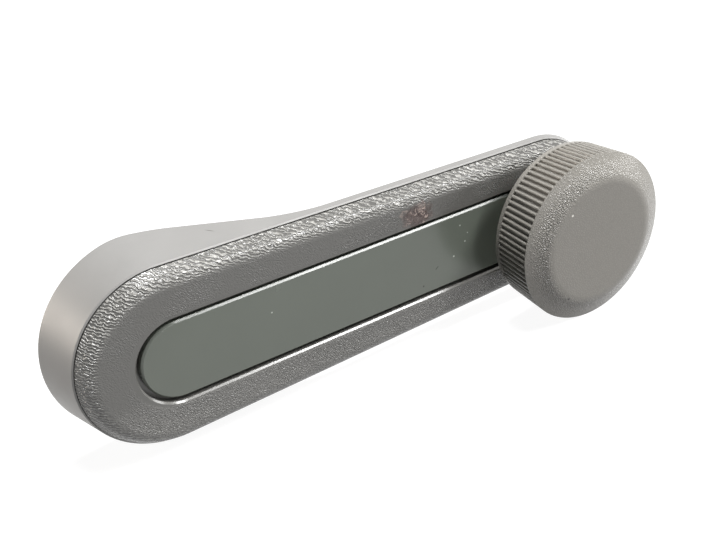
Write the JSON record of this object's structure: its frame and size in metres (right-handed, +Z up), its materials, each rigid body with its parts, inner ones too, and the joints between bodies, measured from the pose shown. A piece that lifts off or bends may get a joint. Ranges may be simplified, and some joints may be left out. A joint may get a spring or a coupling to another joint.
{
  "type": "window crank handle",
  "caption": "Car window crank: flared hub with serrated socket, grained arm with smooth insert strip, ribbed spinning knob",
  "frame": {"origin": "centre of the serrated spindle socket, on the hub's rear face", "axes": "+X runs along the arm from the hub axis to the knob axis, +Y points out of the socket towards the door, -Y towards the person turning the crank, and +Z is up with the arm level"},
  "size_m": [0.1228, 0.0299, 0.04],
  "materials": {
    "housing_plastic": "smooth satin moulded plastic",
    "frame_plastic": "leather-grained moulded plastic",
    "strip_plastic": "smooth semi-gloss moulded plastic",
    "plate_steel": "stamped sheet steel",
    "hub_zinc": "die-cast zinc",
    "screw_steel": "zinc-plated steel",
    "spindle_steel": "turned steel",
    "washer_steel": "plain sheet steel",
    "core_nylon": "natural nylon",
    "bush_bronze": "sintered bronze",
    "knob_plastic": "fine-grained moulded plastic"
  },
  "bodies": {
    "arm": {"rear_housing": "housing_plastic", "face_frame": "frame_plastic", "core_plate": "plate_steel", "spline_hub": "hub_zinc", "frame_screws": "screw_steel", "knob_spindle": "spindle_steel", "rivet_washer": "washer_steel", "spindle_collar": "hub_zinc", "spring_washer": "washer_steel", "thrust_washer": "core_nylon", "retaining_ring": "washer_steel"},
    "strip": {"insert_strip": "strip_plastic"},
    "knob": {"knob_core": "core_nylon", "knob_bush": "bush_bronze", "knob_cap": "knob_plastic"}
  },
  "joints": [
    {"name": "knob_spin", "type": "hinge", "parent": "arm", "child": "knob", "pos_m": [0.085, -0.022, 0], "axis": [0, -1, 0], "continuous": true},
    {"name": "strip_lift", "type": "hinge", "parent": "arm", "child": "strip", "pos_m": [0.077, -0.0128, 0], "axis": [0, 0, 1], "range_deg": [0, 20]}
  ]
}
